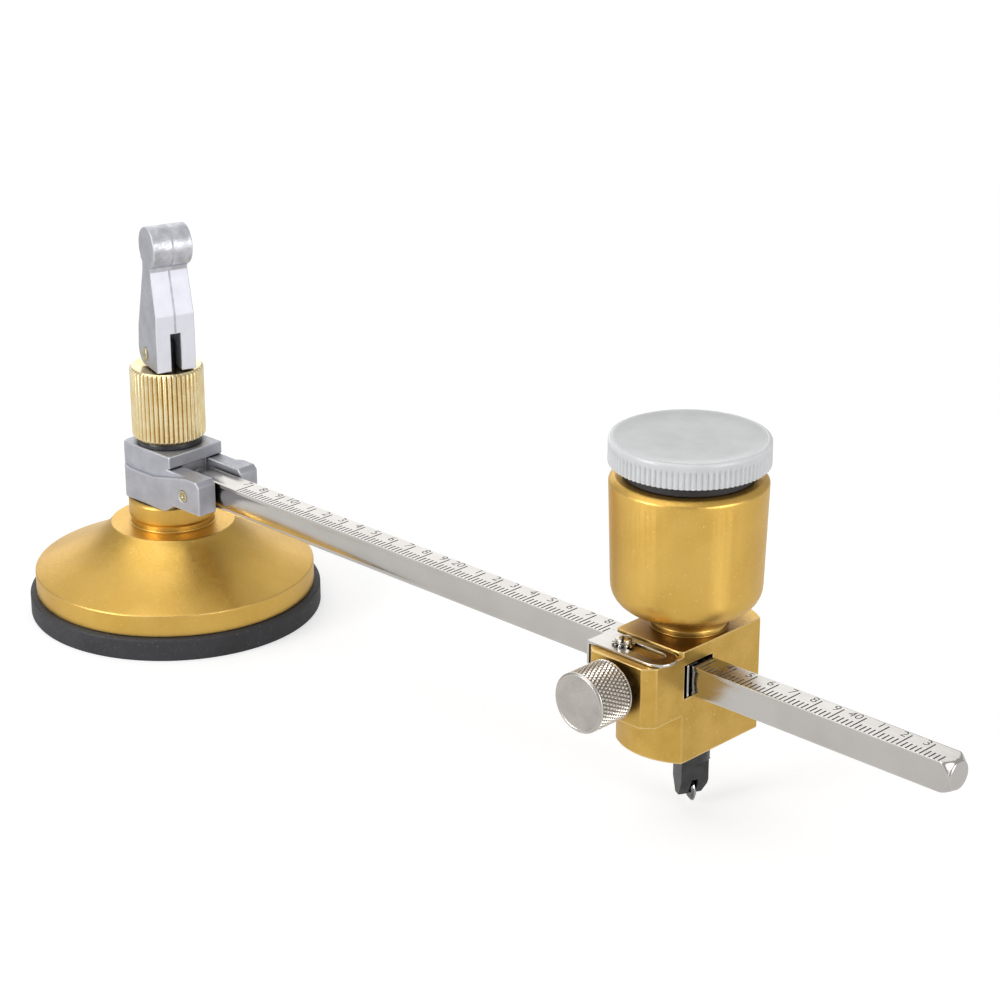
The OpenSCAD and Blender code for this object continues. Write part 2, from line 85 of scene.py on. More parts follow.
# Mesh making: welding distance, angles that count as flat and as smooth, and numbers of steps
JOIN_DISTANCE = 0.0005
FLAT_ANGLE = math.radians(0.6)
SMOOTH_ANGLE = math.radians(32)
ROUND_SEGMENTS = 160
CORNER_STEPS = 5

# Height of a number as a share of its font's size
CAPITAL_SHARE = 0.7

# Play left between pieces of different bodies that lie on each other
FREE_PLAY = 0.02

# Finishes: how far the painted shade in corners, gaps and under overhangs and the painted highlight on convex
# edges reach, and the part of each noise or shade that is used
SHADE_REACH = 1.8
HIGHLIGHT_REACH = 0.4
OCCLUSION_SAMPLES = 8
SPECK_SIZE = 0.5
FINE_DETAIL = 2.0
DRIFT_RANGE = (0.35, 0.65)
GRAIN_RANGE = (0.3, 0.7)
SPECK_RANGE = (0.66, 0.74)
HIGHLIGHT_RANGE = (0.6, 0.95)
SHADE_RANGE = (0.25, 0.75)

# A finish for each material slot of the record, and looks for rubbed, rough and worn places and darker copies that
# paint shade; edge is the colour of a painted highlight on convex edges, corner the colour of painted shade in
# corners, gaps and under overhangs
FINISHES = {
    "rubber": dict(
        tones=((0.022, 0.022, 0.025), (0.036, 0.036, 0.041)), metallic=0, gloss=(0.5, 0.75),
        mottle=9, grain=0.35, relief=0.02, specks=(0.09, 0.09, 0.095)),
    "gold_paint": dict(
        tones=((0.66, 0.41, 0.092), (0.72, 0.46, 0.115)), metallic=1, gloss=(0.33, 0.45),
        mottle=9, grain=0.7, relief=0.015,
        edge=(0.98, 0.77, 0.40), corner=(0.18, 0.09, 0.02), specks=(0.80, 0.54, 0.17)),
    # Darker gold paint for the body, with painted shade that reaches 6 mm into corners, gaps and under overhangs
    "shaded_gold": dict(
        tones=((0.58, 0.36, 0.079), (0.66, 0.42, 0.105)), metallic=1, gloss=(0.30, 0.42),
        mottle=5, grain=0.6, relief=0.015,
        edge=(0.98, 0.77, 0.40), corner=(0.20, 0.11, 0.028), reach=6, specks=(0.80, 0.54, 0.17)),
    "brass": dict(
        tones=((0.775, 0.61, 0.30), (0.87, 0.75, 0.47)), metallic=1, gloss=(0.14, 0.30),
        mottle=4, grain=0.25, relief=0.002, stretch=(1, 1, 0.1),
        edge=(0.96, 0.88, 0.63), corner=(0.62, 0.44, 0.19)),
    "old_brass": dict(
        tones=((0.38, 0.32, 0.19), (0.52, 0.45, 0.28)), metallic=1, gloss=(0.22, 0.38),
        mottle=1.5, grain=0.2, relief=0.004,
        edge=(0.66, 0.60, 0.42), corner=(0.05, 0.04, 0.025), reach=0.8),
    "zinc": dict(
        tones=((0.77, 0.78, 0.855), (0.82, 0.83, 0.905)), metallic=0.35, gloss=(0.50, 0.62),
        mottle=5, grain=0.6, relief=0.012,
        edge=(0.86, 0.87, 0.92), corner=(0.12, 0.12, 0.14)),
    "rubbed_zinc": dict(
        tones=((0.48, 0.485, 0.525), (0.68, 0.685, 0.735)), metallic=0.6, gloss=(0.30, 0.52),
        mottle=2.5, grain=0.5, relief=0.025,
        edge=(0.82, 0.83, 0.88), corner=(0.12, 0.12, 0.14)),
    "seam_zinc": dict(
        tones=((0.46, 0.465, 0.50), (0.60, 0.605, 0.65)), metallic=0.35, gloss=(0.5, 0.65),
        mottle=2, grain=0.4, relief=0.02),
    "cast_zinc": dict(
        tones=((0.40, 0.408, 0.445), (0.47, 0.478, 0.52)), metallic=0.75, gloss=(0.40, 0.58),
        mottle=4, grain=0.7, relief=0.03,
        edge=(0.76, 0.77, 0.82), corner=(0.08, 0.08, 0.095)),
    "nickel": dict(
        tones=((0.525, 0.505, 0.48), (0.575, 0.555, 0.53)), metallic=1, gloss=(0.16, 0.27),
        mottle=12, grain=0.3, relief=0.0008, stretch=(0.06, 1, 1),
        edge=(0.70, 0.68, 0.65), corner=(0.17, 0.16, 0.15)),
    "worn_nickel": dict(
        tones=((0.45, 0.42, 0.385), (0.52, 0.49, 0.455)), metallic=1, gloss=(0.26, 0.38),
        mottle=4, grain=0.3, relief=0.001,
        edge=(0.72, 0.69, 0.65), corner=(0.14, 0.12, 0.10)),
    "hard_steel": dict(
        tones=((0.10, 0.10, 0.105), (0.17, 0.17, 0.175)), metallic=1, gloss=(0.20, 0.34),
        mottle=1.5, grain=0.2, relief=0.002, edge=(0.42, 0.42, 0.43)),
    "dark_steel": dict(
        tones=((0.035, 0.035, 0.038), (0.06, 0.06, 0.065)), metallic=0.8, gloss=(0.35, 0.5),
        mottle=3, grain=0.2, relief=0.004),
    "black_plastic": dict(
        tones=((0.024, 0.024, 0.027), (0.044, 0.044, 0.048)), metallic=0, gloss=(0.16, 0.28),
        mottle=2, grain=0.25, relief=0.004),
    "white_plastic": dict(
        tones=((0.60, 0.61, 0.62), (0.68, 0.69, 0.70)), metallic=0, gloss=(0.14, 0.22),
        mottle=12, grain=4, relief=0.004, edge=(0.76, 0.77, 0.80),
        Subsurface_Weight=0.4, Subsurface_Radius=(1, 1, 1), Subsurface_Scale=0.002),
    # Darker white plastic for the cap's top: painted shade
    "shaded_plastic": dict(
        tones=((0.425, 0.435, 0.43), (0.485, 0.495, 0.49)), metallic=0, gloss=(0.10, 0.18),
        mottle=7, grain=5, relief=0.006, edge=(0.64, 0.65, 0.66),
        Subsurface_Weight=0.3, Subsurface_Radius=(1, 1, 1), Subsurface_Scale=0.002),
    "wick": dict(
        tones=((0.60, 0.54, 0.43), (0.78, 0.72, 0.60)), metallic=0, gloss=(0.8, 0.95),
        mottle=0.8, grain=0.2, relief=0.06, stretch=(1, 1, 0.15)),
    "ink": dict(
        tones=((0.10, 0.098, 0.095), (0.22, 0.21, 0.20)), metallic=0.5, gloss=(0.4, 0.6),
        mottle=1.5, grain=0.2, relief=0.003),
}


# Stage


def direction(azimuth, elevation):
    """Unit vector from the object towards a place round it; azimuth 0 is on the -Y side."""
    turn = math.radians(azimuth)
    rise = math.radians(elevation)
    return Vector((math.sin(turn) * math.cos(rise), -math.cos(turn) * math.cos(rise), math.sin(rise)))


def look_back(thing, target, azimuth, elevation, distance):
    """Stands a camera or a lamp at a distance from the target, aimed at it."""
    away = direction(azimuth, elevation)
    thing.location = (target + away * distance) * MM
    thing.rotation_mode = "QUATERNION"
    thing.rotation_quaternion = (-away).to_track_quat("-Z", "Y")


def add_to_scene(name, data):
    made = bpy.data.objects.new(name, data)
    bpy.context.scene.collection.objects.link(made)
    return made


def make_camera():
    lens = bpy.data.cameras.new("camera")
    lens.sensor_width = SENSOR_WIDTH
    lens.lens = CAMERA_LENS
    lens.clip_start = CLIP_NEAR * MM
    lens.clip_end = CLIP_FAR * MM
    camera = add_to_scene("camera", lens)
    look_back(camera, CAMERA_TARGET, CAMERA_AZIMUTH, CAMERA_ELEVATION, CAMERA_DISTANCE)
    bpy.context.scene.camera = camera


def make_lights():
    for name, (azimuth, elevation, distance, size, watts) in SOFT_BOXES.items():
        lamp = bpy.data.lights.new(name, "AREA")
        lamp.size = size * MM
        lamp.energy = watts
        box = add_to_scene(name, lamp)
        box.visible_camera = False
        look_back(box, CAMERA_TARGET, azimuth, elevation, distance)


def add_node(tree, kind, **values):
    """A shader node with some of its inputs set by name."""
    made = tree.nodes.new(kind)
    for name, value in values.items():
        made.inputs[name].default_value = value
    return made


def spread(tree, source, low, high, to_low, to_high):
    """A value from low to high turned into one from to_low to to_high."""
    made = add_node(tree, "ShaderNodeMapRange")
    made.inputs["From Min"].default_value = low
    made.inputs["From Max"].default_value = high
    made.inputs["To Min"].default_value = to_low
    made.inputs["To Max"].default_value = to_high
    tree.links.new(source, made.inputs["Value"])
    return made.outputs["Result"]


def by_ray(tree, seen, mirrored, other):
    """One value for what the camera sees, one for what metal and glass show, one for all other light."""
    path = add_node(tree, "ShaderNodeLightPath")
    indirect = add_node(tree, "ShaderNodeMath")
    indirect.operation = "MAXIMUM"
    tree.links.new(path.outputs["Is Glossy Ray"], indirect.inputs[0])
    tree.links.new(path.outputs["Is Transmission Ray"], indirect.inputs[1])
    first = add_node(tree, "ShaderNodeMix", A=other, B=mirrored)
    tree.links.new(indirect.outputs[0], first.inputs["Factor"])
    second = add_node(tree, "ShaderNodeMix")
    tree.links.new(path.outputs["Is Camera Ray"], second.inputs["Factor"])
    tree.links.new(first.outputs["Result"], second.inputs["A"])
    if isinstance(seen, (int, float)):
        second.inputs["B"].default_value = seen
    else:
        tree.links.new(seen, second.inputs["B"])
    return second.outputs["Result"]


def make_world():
    world = bpy.data.worlds.new("studio")
    bpy.context.scene.world = world
    world.use_nodes = True
    tree = world.node_tree
    background = tree.nodes["Background"]
    background.inputs["Color"].default_value = WHITE
    tree.links.new(by_ray(tree, 1, WORLD_MIRRORED, AMBIENT), background.inputs["Strength"])


def white_lift(tree):
    """Strength of the floor's own white, which grows with the distance from the object."""
    place = add_node(tree, "ShaderNodeTexCoord").outputs["Object"]
    away = add_node(tree, "ShaderNodeVectorMath")
    away.operation = "LENGTH"
    tree.links.new(place, away.inputs[0])
    seen = spread(
        tree, away.outputs["Value"], FLOOR_NEAR * MM, FLOOR_FAR * MM, FLOOR_LIFT_NEAR, FLOOR_LIFT_FAR)
    return by_ray(tree, seen, FLOOR_LIFT_MIRRORED, 0)


def make_floor():
    half = FLOOR_SIZE / 2 * MM
    mesh = bpy.data.meshes.new("floor")
    corners = [(-half, -half, 0), (half, -half, 0), (half, half, 0), (-half, half, 0)]
    mesh.from_pydata(corners, [], [(0, 1, 2, 3)])
    floor = add_to_scene("floor", mesh)
    floor.location.z = -FLOOR_DROP * MM
    paint = bpy.data.materials.new("floor_white")
    paint.use_nodes = True
    tree = paint.node_tree
    tree.nodes.clear()
    pale = (FLOOR_ALBEDO, FLOOR_ALBEDO, FLOOR_ALBEDO, 1)
    diffuse = add_node(tree, "ShaderNodeBsdfDiffuse", Color=pale)
    lift = add_node(tree, "ShaderNodeEmission", Color=WHITE)
    both = add_node(tree, "ShaderNodeAddShader")
    result = add_node(tree, "ShaderNodeOutputMaterial")
    tree.links.new(white_lift(tree), lift.inputs["Strength"])
    tree.links.new(diffuse.outputs[0], both.inputs[0])
    tree.links.new(lift.outputs[0], both.inputs[1])
    tree.links.new(both.outputs[0], result.inputs["Surface"])
    mesh.materials.append(paint)


# Finishes


def noise(tree, place, size, detail=3.0):
    """Noise whose blobs are about that many millimetres across."""
    made = add_node(tree, "ShaderNodeTexNoise", Scale=1 / (size * MM), Detail=detail)
    tree.links.new(place, made.inputs["Vector"])
    return made.outputs["Fac"]


def blend(tree, share, first, second):
    """Colour between two, each a colour or a socket, by a share from 0 to 1."""
    made = add_node(tree, "ShaderNodeMix")
    made.data_type = "RGBA"
    tree.links.new(share, made.inputs["Factor"])
    for value, socket in ((first, made.inputs[6]), (second, made.inputs[7])):
        if isinstance(value, tuple):
            socket.default_value = (*value, 1)
        else:
            tree.links.new(value, socket)
    return made.outputs[2]


def occlusion(tree, reach, inside):
    """How open the space is round a place, within a reach in mm; inside looks into the piece itself."""
    made = add_node(tree, "ShaderNodeAmbientOcclusion", Distance=reach * MM)
    made.samples = OCCLUSION_SAMPLES
    made.inside = inside
    made.only_local = inside
    return made.outputs["AO"]


def finish(name, tones, metallic, gloss, mottle, grain, relief, stretch=(1, 1, 1), edge=None,
           corner=None, reach=SHADE_REACH, specks=None, **more):
    """A procedural finish.

    tones: darker and lighter colour; gloss: lowest and highest roughness; mottle and grain: sizes in mm
    of the colour's drift and of the fine grain; relief: depth of the grain in mm; stretch: how the grain
    is drawn out; edge: colour of the painted highlight on convex edges; corner: colour of the painted shade
    in corners, gaps and under overhangs; reach: how far in mm the painted shade spreads; specks: colour of
    small specks; more: plain values of shader sockets.
    """
    made = bpy.data.materials.new(name)
    made.use_nodes = True
    tree = made.node_tree
    shader = tree.nodes["Principled BSDF"]
    shader.inputs["Metallic"].default_value = metallic
    for socket, value in more.items():
        shader.inputs[socket.replace("_", " ")].default_value = value
    place = add_node(tree, "ShaderNodeTexCoord").outputs["Object"]
    drawn = add_node(tree, "ShaderNodeMapping", Scale=stretch)
    tree.links.new(place, drawn.inputs["Vector"])
    drift = noise(tree, place, mottle)
    fine = noise(tree, drawn.outputs["Vector"], grain, FINE_DETAIL)
    colour = blend(tree, spread(tree, drift, *DRIFT_RANGE, 0, 1), *tones)
    if specks:
        dots = noise(tree, place, SPECK_SIZE, FINE_DETAIL)
        colour = blend(tree, spread(tree, dots, *SPECK_RANGE, 0, 1), colour, specks)
    # Painted highlight: along convex edges the colour lightens towards the edge colour
    if edge:
        rim = occlusion(tree, HIGHLIGHT_REACH, True)
        colour = blend(tree, spread(tree, rim, *HIGHLIGHT_RANGE, 0, 1), edge, colour)
    # Painted shade: where little open space lies round a place, in corners, gaps and under overhangs, the colour
    # darkens towards the corner colour
    if corner:
        painted_shade = occlusion(tree, reach, False)
        colour = blend(tree, spread(tree, painted_shade, *SHADE_RANGE, 0, 1), corner, colour)
    tree.links.new(colour, shader.inputs["Base Color"])
    tree.links.new(spread(tree, fine, *GRAIN_RANGE, *gloss), shader.inputs["Roughness"])
    bump = add_node(tree, "ShaderNodeBump", Strength=1, Distance=relief * MM)
    tree.links.new(fine, bump.inputs["Height"])
    tree.links.new(bump.outputs["Normal"], shader.inputs["Normal"])
    return made


# Tools for pieces


def box_mm(node):
    """Lowest and highest corner of a CAD node in millimetres."""
    low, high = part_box(node)
    return low / MM, high / MM


def centre_mm(node):
    low, high = box_mm(node)
    return (low + high) / 2


def length_along(node, axis):
    """Length of a CAD node along an axis, in millimetres."""
    along = [Vector(v.co).dot(Vector(axis)) for v in frame["nodes"][node].data.vertices]
    return (max(along) - min(along)) / MM


def joint_axis(name):
    return Vector(next(joint for joint in frame["joints"] if joint["name"] == name)["axis"])


def piece(name, mesh, body, slot, node):
    """A new object that rides on a body, takes a slot's finish and stands for a CAD node."""
    made = add_to_scene(name, mesh)
    if not mesh.materials:
        mesh.materials.append(finishes[slot])
    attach(made, body)
    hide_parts(node)
    return made


def shade(mesh):
    """Smooth shading that keeps sharp edges sharp."""
    for polygon in mesh.polygons:
        polygon.use_smooth = True
    mesh.set_sharp_from_angle(angle=SMOOTH_ANGLE)


def mesh_from(shape, name):
    """A mesh with the content of a bmesh, which is freed."""
    mesh = bpy.data.meshes.new(name)
    shape.to_mesh(mesh)
    shape.free()
    return mesh


def joined_copy(node):
    """A bmesh of a CAD node with its split corners joined, in metres."""
    shape = bmesh.new()
    shape.from_mesh(frame["nodes"][node].data)
    bmesh.ops.remove_doubles(shape, verts=shape.verts, dist=JOIN_DISTANCE * MM)
    return shape


def clean_copy(node):
    """Mesh of a CAD node with whole flat faces and smooth curved ones, in metres."""
    shape = joined_copy(node)
    bmesh.ops.dissolve_limit(shape, angle_limit=FLAT_ANGLE, verts=shape.verts, edges=shape.edges)
    for face in shape.faces:
        face.smooth = any(FLAT_ANGLE < edge.calc_face_angle(0) < SMOOTH_ANGLE for edge in face.edges)
    mesh = mesh_from(shape, node)
    mesh.set_sharp_from_angle(angle=SMOOTH_ANGLE)
    mesh.materials.clear()
    return mesh


def round_edges(made, width, segments=3):
    """Rounds every hard edge of a piece by that many millimetres."""
    edges = made.modifiers.new("edges", "BEVEL")
    edges.width = width * MM
    edges.segments = segments
    edges.limit_method = "ANGLE"
    edges.angle_limit = SMOOTH_ANGLE
    edges.use_clamp_overlap = False


def dressed(name, node, body, slot, width, segments=3, look=None, lift=0):
    """A CAD node's own shape with rounded edges, in its slot's finish or another look, lifted by mm."""
    mesh = clean_copy(node)
    mesh.materials.append(finishes[look or slot])
    mesh.transform(Matrix.Translation((0, 0, lift * MM)))
    made = piece(name, mesh, body, slot, node)
    round_edges(made, width, segments)
    return made


def rounded(points):
    """Profile from corners (radius, height, ease), each eased that far along both of its sides."""
    made = []
    for i, (radius, height, ease) in enumerate(points):
        corner = Vector((radius, height))
        if ease == 0:
            made.append(corner)
            continue
        before = Vector(points[i - 1][:2])
        after = Vector(points[(i + 1) % len(points)][:2])
        start = corner + (before - corner).normalized() * ease
        end = corner + (after - corner).normalized() * ease
        for step in range(CORNER_STEPS + 1):
            share = step / CORNER_STEPS
            made.append(start.lerp(corner, share).lerp(corner.lerp(end, share), share))
    return made


def lathe(name, profile, centre, axis=(0, 0, 1), segments=ROUND_SEGMENTS, radius_at=None):
    """Closed mesh in metres, turned from (radius, height) points in mm about an axis through the centre."""
    corners = []
    for radius, height in profile:
        for i in range(segments):
            angle = i * math.tau / segments
            reach = radius_at(angle, radius, height) if radius_at else radius
            corners.append((reach * math.cos(angle), reach * math.sin(angle), height))
    faces = []
    for ring in range(len(profile)):
        upper = (ring + 1) % len(profile)
        for i in range(segments):
            after = (i + 1) % segments
            faces.append((ring * segments + i, ring * segments + after,
                          upper * segments + after, upper * segments + i))
    mesh = bpy.data.meshes.new(name)
    mesh.from_pydata(corners, [], faces)
    shape = bmesh.new()
    shape.from_mesh(mesh)
    bmesh.ops.remove_doubles(shape, verts=shape.verts, dist=JOIN_DISTANCE)
    bmesh.ops.recalc_face_normals(shape, faces=shape.faces)
    shape.to_mesh(mesh)
    shape.free()
    turn = Vector((0, 0, 1)).rotation_difference(Vector(axis)).to_matrix().to_4x4()
    mesh.transform(Matrix.Scale(MM, 4) @ Matrix.Translation(centre) @ turn)
    shade(mesh)
    return mesh


def add_block(shape, low, high):
    """Adds a block between two corners to a bmesh."""
    corners = [(x, y, z) for x in (low[0], high[0]) for y in (low[1], high[1]) for z in (low[2], high[2])]
    faces = [(0, 1, 3, 2), (4, 6, 7, 5), (0, 4, 5, 1), (2, 3, 7, 6), (0, 2, 6, 4), (1, 5, 7, 3)]
    block = bpy.data.meshes.new("block")
    block.from_pydata(corners, [], faces)
    shape.from_mesh(block)
    bpy.data.meshes.remove(block)


def prism(name, outline, depth, place, look):
    """Closed mesh of an anticlockwise outline in x and y, drawn out to both sides and put in place."""
    count = len(outline)
    corners = [(x, y, -depth) for x, y in outline] + [(x, y, depth) for x, y in outline]
    faces = [tuple(reversed(range(count))), tuple(range(count, 2 * count))]
    for i in range(count):
        after = (i + 1) % count
        faces.append((i, after, count + after, count + i))
    mesh = bpy.data.meshes.new(name)
    mesh.from_pydata(corners, [], faces)
    mesh.transform(place)
    mesh.materials.append(finishes[look])
    return mesh


def blank_of(mesh, look, shift=0):
    """A mesh turned from metres into millimetres for cutting, in a look, shifted up by millimetres."""
    mesh.transform(Matrix.Translation((0, 0, shift)) @ Matrix.Scale(1 / MM, 4))
    mesh.materials.append(finishes[look])
    return mesh


def cut(mesh, cutter_mesh):
    """The mesh in metres with the cutter taken away, both given in mm; cut faces keep the cutter's finish."""
    made = add_to_scene("blank", mesh)
    cutter = add_to_scene("cutter", cutter_mesh)
    taken = made.modifiers.new("cut", "BOOLEAN")
    taken.operation = "DIFFERENCE"
    taken.solver = "EXACT"
    taken.material_mode = "TRANSFER"
    taken.object = cutter
    bpy.context.view_layer.update()
    result = bpy.data.meshes.new_from_object(made.evaluated_get(bpy.context.evaluated_depsgraph_get()))
    bpy.data.objects.remove(made)
    bpy.data.objects.remove(cutter)
    result.transform(Matrix.Scale(MM, 4))
    shade(result)
    return result


# Pieces


def make_base():
    """Rubber pad with a hollow face, painted cover, and the washer under the sleeve."""
    pad_high = box_mm("suction_pad")[1]
    edge = pad_high.x
    hub_top = pad_high.z
    top = box_mm("base_cover")[0].z
    hub_r = 12.9
    stud_hole = 3.3
    pocket_r = 10.3
    pocket_low = 2.2
    pocket_top = 6.5
    hollow = [(0, 1.4, 0), (21, 1.2, 1)]
    bead = [(22, 0.4, 0.3), (23.2, 0.4, 0.3)]
    groove = [(24, 1.1, 0.4), (28.6, 0.9, 0.6)]
    sealing_ring = [(29.4, 0, 0.3), (edge - 0.2, 0, 0.1)]
    side = [(edge, 0.3, 0.15), (edge, top - 0.4, 0.3), (edge - 0.4, top, 0.3)]
    hub = [(hub_r, top, 0), (hub_r, hub_top, 0.4), (stud_hole, hub_top, 0), (stud_hole, pocket_top, 0)]
    pocket = [(pocket_r, pocket_top, 0), (pocket_r, pocket_low, 0), (0, pocket_low, 0)]
    profile = rounded([*hollow, *bead, *groove, *sealing_ring, *side, *hub, *pocket])
    piece("rubber_pad", lathe("rubber_pad", profile, (0, 0, 0)), "base", "rubber", "suction_pad")
    dressed("gold_cover", "base_cover", "base", "gold_paint", width=0.22)
    dressed("black_washer", "friction_washer", "base", "black_plastic", width=0.2)


def make_sleeve():
    """Brass sleeve with rounded straight splines."""
    low, high = box_mm("knurled_sleeve")
    outer = high.x
    bore = 5.25
    hole = 3.3
    lid = 1.7
    foot = 0.95
    top_edge = 0.55
    depth = 0.5
    hollowness = 2.4
    splines = 46
    steps = 12

    def tooth(angle, radius, height):
        across = (angle * splines / math.tau) % 1
        groove = abs(2 * across - 1) ** hollowness
        return min(radius, outer - depth * groove)

    shares = [i / CORNER_STEPS for i in range(CORNER_STEPS + 1)]
    profile = [Vector((hole, high.z)), Vector((hole, high.z - lid)), Vector((bore, high.z - lid)),
               Vector((bore, low.z))]
    for share in shares:
        profile.append(Vector((outer - foot * (1 - share), low.z + foot * share)))
    for share in shares:
        profile.append(Vector((outer - top_edge * share, high.z - top_edge * (1 - share))))
    mesh = lathe("brass_sleeve", profile, (0, 0, 0), segments=splines * steps, radius_at=tooth)
    piece("brass_sleeve", mesh, "sleeve", "brass", "knurled_sleeve")


def make_pin(name, node, body, axis, radius, head=None):
    """Pin whose ends have a small dimple; with a head radius they are riveted over."""
    half = length_along(node, axis) / 2
    proud = 0.4 if head else 0
    head = head or radius
    dimple = 0.35 * head
    dimple_depth = 0.25
    segments = 64
    far = [(dimple, half + proud, 0.1), (head, half + proud, 0.3), (head, half, 0)]
    near = [(reach, -height, ease) for reach, height, ease in far]
    profile = rounded([
        (0, dimple_depth - half - proud, 0), *near, (radius, -half, 0),
        (radius, half, 0), *reversed(far), (0, half + proud - dimple_depth, 0),
    ])
    mesh = lathe(name, profile, centre_mm(node), axis, segments)
    mesh.materials.append(finishes["old_brass"])
    piece(name, mesh, body, "brass", node)


def parting_line(node, axis, half, rise):
    """Mesh of a low ridge round a CAD node, in the plane through the origin that the axis stands on.

    half: half the ridge's width in mm; rise: its height in mm, kept under the node's top.
    """
    ceiling = box_mm(node)[1].z * MM
    shape = joined_copy(node)
    for way in (-axis, axis):
        everything = [*shape.verts, *shape.edges, *shape.faces]
        bmesh.ops.bisect_plane(
            shape, geom=everything, plane_co=half * way * MM, plane_no=way, clear_outer=True)
    shape.normal_update()
    for corner in shape.verts:
        corner.co += corner.normal * rise * MM
        corner.co.z = min(corner.co.z, ceiling)
    bmesh.ops.holes_fill(shape, edges=[edge for edge in shape.edges if edge.is_boundary])
    bmesh.ops.recalc_face_normals(shape, faces=shape.faces)
    mesh = mesh_from(shape, "parting_line")
    mesh.materials.clear()
    shade(mesh)
    return mesh


def make_lever():
    """Cast lever with rough sides, a rubbed roll and the line where its mould parted, and its pin."""
    axis = joint_axis("lever_throw")
    roll_z = box_mm("cam_lever")[1].z - 9.5
    side_share = 0.5
    rough = 1
    rubbed = 2
    cast = dressed("cam_lever_cast", "cam_lever", "lever", "zinc", width=0.22)
    cast.data.materials.append(finishes["cast_zinc"])
    cast.data.materials.append(finishes["rubbed_zinc"])
    for face in cast.data.polygons:
        if abs(face.normal.dot(axis)) > side_share:
            face.material_index = rough
        elif face.center.z > roll_z * MM and face.use_smooth:
            face.material_index = rubbed
    ridge = parting_line("cam_lever", axis, half=0.22, rise=0.02)
    ridge.materials.append(finishes["seam_zinc"])
    piece("lever_parting_line", ridge, "lever", "zinc", "cam_lever")
    make_pin("lever_pin_brass", "lever_pin", "stud", axis, radius=1.25, head=1.5)


def make_swivel():
    dressed("swivel_block_cast", "swivel_block", "swivel", "zinc", width=0.25, look="cast_zinc")
    make_pin("fork_pin_brass", "fork_pin", "swivel", (0, 1, 0), radius=1.3)


def numeral(text, place, height, depth):
    """Closed mesh of a plain number lying on its back, its right foot at the place, in millimetres."""
    letters = bpy.data.curves.new("numeral", "FONT")
    letters.body = text
    letters.size = height / CAPITAL_SHARE
    letters.extrude = depth
    letters.resolution_u = 4
    letters.align_x = "RIGHT"
    holder = add_to_scene("numeral", letters)
    bpy.context.view_layer.update()
    mesh = bpy.data.meshes.new_from_object(holder.evaluated_get(bpy.context.evaluated_depsgraph_get()))
    mesh.transform(Matrix.Translation(place))
    bpy.data.objects.remove(holder)
    return mesh


def make_scale_cutter(low, high, pin):
    """Strokes and numbers of the scale and the pin's bore, as one closed cutter in millimetres."""
    first_label = 7
    last_label = 43
    label_zero = -9.4
    label_step = 5
    stroke = 0.38
    depth = 0.1
    inset = 0.1
    short = 2.2
    long = 4.9
    number_height = 2.1
    number_gap = 0.55
    number_y = 0.55
    pin_gap = 0.06
    bore_segments = 48
    foot = low.y + inset
    shape = bmesh.new()
    for tick in range(first_label * label_step, (last_label + 1) * label_step):
        x = label_zero + tick
        reach = long if tick % label_step == 0 else short
        near = (x - stroke / 2, foot, high.z - depth)
        far = (x + stroke / 2, foot + reach, high.z + depth)
        add_block(shape, near, far)
    for label in range(first_label, last_label + 1):
        text = str(label if label % 10 == 0 else label % 10)
        x = label_zero + label * label_step - number_gap
        mesh = numeral(text, (x, number_y, high.z), number_height, depth)
        shape.from_mesh(mesh)
        bpy.data.meshes.remove(mesh)
    pin_low, pin_high = pin
    bore = (pin_high.z - pin_low.z) / 2 + pin_gap
    where = Matrix.Translation((pin_low + pin_high) / 2) @ Matrix.Rotation(math.pi / 2, 4, "X")
    bmesh.ops.create_cone(
        shape, cap_ends=True, segments=bore_segments, radius1=bore, radius2=bore, depth=4 * bore,
        matrix=where)
    bmesh.ops.remove_doubles(shape, verts=shape.verts, dist=JOIN_DISTANCE)
    bmesh.ops.recalc_face_normals(shape, faces=shape.faces)
    cutter = mesh_from(shape, "scale_cutter")
    cutter.materials.append(finishes["ink"])
    return cutter


def make_rod():
    """Square plated rod with a turned end and an engraved, ink-filled scale."""
    low, high = box_mm("scale_rod")
    centre = centre_mm("scale_rod")
    half = (high.y - low.y) / 2
    corner = half * math.sqrt(2) - 0.05
    taper = 2.3
    tip = half - 0.1
    lip = 0.45
    steps = 10
    segments = 192

    def square(angle, radius, height):
        side = half / max(abs(math.cos(angle)), abs(math.sin(angle)))
        return min(radius, side, corner)

    profile = [Vector((0, low.x)), Vector((half, low.x)), Vector((corner, low.x + corner - half))]
    for i in range(steps + 1):
        share = i / steps
        swell = math.cos(share * math.pi / 2)
        profile.append(Vector((tip + (corner - tip) * swell, high.x - lip - (taper - lip) * (1 - share))))
    for i in range(1, CORNER_STEPS + 1):
        turn = i / CORNER_STEPS * math.pi / 2
        profile.append(Vector((tip - lip * (1 - math.cos(turn)), high.x - lip * (1 - math.sin(turn)))))
    profile.append(Vector((0, high.x)))
    turned = lathe("nickel_rod", profile, (0, centre.y, centre.z), (1, 0, 0), segments, square)
    mesh = cut(blank_of(turned, "nickel"), make_scale_cutter(low, high, box_mm("fork_pin")))
    piece("nickel_rod", mesh, "arm", "nickel", "scale_rod")


def make_head():
    # The body's gold takes darker tones and far-reaching painted shade
    dressed("gold_body", "cutter_body", "head", "gold_paint", width=0.14, look="shaded_gold")
    dressed("gold_reservoir", "oil_reservoir", "head", "gold_paint", width=0.3)
    dressed("black_seal", "cap_seal", "seal", "rubber", width=0.3, lift=FREE_PLAY)


